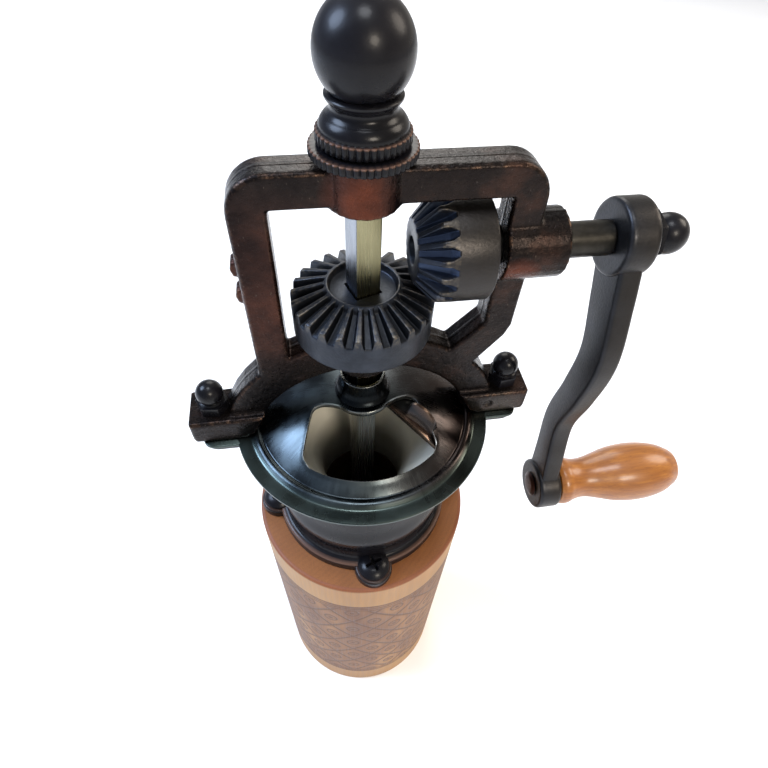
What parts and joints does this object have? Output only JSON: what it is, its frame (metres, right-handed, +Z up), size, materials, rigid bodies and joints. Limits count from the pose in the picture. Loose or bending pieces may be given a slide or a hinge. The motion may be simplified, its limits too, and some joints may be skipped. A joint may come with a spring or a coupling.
{
  "type": "spice grinder",
  "caption": "Hand-cranked spice grinder: turned wood cylinder, black collar and dished lid with a shutter, open cast frame with bevel gears, ball finial and side crank with a wooden grip.",
  "frame": {"origin": "on the wood body's axis, in the plane the grinder stands on (underside of the foot's hub)", "axes": "+Z up along the drive shaft, +X towards the crank, -Y towards the fill opening"},
  "size_m": [0.1188, 0.056, 0.2191],
  "materials": {
    "oiled_wood": "turned and oiled, warm brown with a paler tan band under the top edge",
    "honey_wood": "clear-varnished honey-coloured beech",
    "antique_bronze": "dark antique bronze wash over a rough casting, rubbed coppery at the edges",
    "black_nickel": "glossy black nickel plate on stamped sheet",
    "black_enamel": "semi-gloss black enamel",
    "blackened_steel": "satin blue-black phosphate, worn grey on the teeth",
    "bright_steel": "drawn bar, lightly tarnished",
    "tinned_sheet": "spun sheet, satin pale tin",
    "burr_iron": "bare, ground on the cutting edges",
    "spring_wire": "drawn spring wire",
    "zinc_plate": "dull zinc plate"
  },
  "bodies": {
    "base": {"wood_body": "oiled_wood", "collar": "black_enamel", "collar_screw_1": "black_enamel", "collar_screw_2": "black_enamel", "collar_screw_3": "black_enamel", "collar_screw_4": "black_enamel", "hopper_funnel": "tinned_sheet", "lid": "black_nickel", "shutter_eyelet": "black_nickel", "frame": "antique_bronze", "lid_bolt_left": "black_enamel", "lid_bolt_right": "black_enamel", "cap_nut_left": "black_enamel", "cap_nut_right": "black_enamel", "burr_ring": "burr_iron", "foot_spider": "zinc_plate", "foot_screw_1": "zinc_plate", "foot_screw_2": "zinc_plate", "foot_screw_3": "zinc_plate"},
    "drive": {"drive_shaft": "bright_steel", "drive_gear": "blackened_steel", "burr_cone": "burr_iron", "burr_spring": "spring_wire"},
    "lock_nut": {"lock_ring": "black_enamel"},
    "finial_nut": {"finial": "black_enamel"},
    "crank": {"crank_shaft": "bright_steel", "pinion_gear": "blackened_steel", "crank_arm": "blackened_steel", "crank_nut": "black_enamel", "handle_pin": "bright_steel"},
    "grip": {"handle": "honey_wood"},
    "shutter_leaf": {"shutter": "black_nickel"}
  },
  "joints": [
    {"name": "crank_turn", "type": "hinge", "parent": "base", "child": "crank", "pos_m": [0.0115, 0, 0.1809], "axis": [1, 0, 0], "continuous": true},
    {"name": "drive_turn", "type": "hinge", "parent": "base", "child": "drive", "pos_m": [0, 0, 0.0018], "axis": [0, 0, 1], "continuous": true},
    {"name": "handle_spin", "type": "hinge", "parent": "crank", "child": "grip", "pos_m": [0.0494, -0.01029, 0.11206], "axis": [1, 0, 0], "continuous": true},
    {"name": "shutter_turn", "type": "hinge", "parent": "base", "child": "shutter_leaf", "pos_m": [0, 0, 0.1447], "axis": [0, 0, 1], "range_deg": [-98, 0]},
    {"name": "lock_ring_turn", "type": "hinge", "parent": "drive", "child": "lock_nut", "pos_m": [0, 0, 0.1982], "axis": [0, 0, 1], "range_deg": [-360, 360]},
    {"name": "finial_turn", "type": "hinge", "parent": "drive", "child": "finial_nut", "pos_m": [0, 0, 0.1997], "axis": [0, 0, 1], "range_deg": [-360, 360]}
  ],
  "couplings": [
    {"joint": "drive_turn", "follows": "crank_turn", "ratio": 0.72}
  ]
}
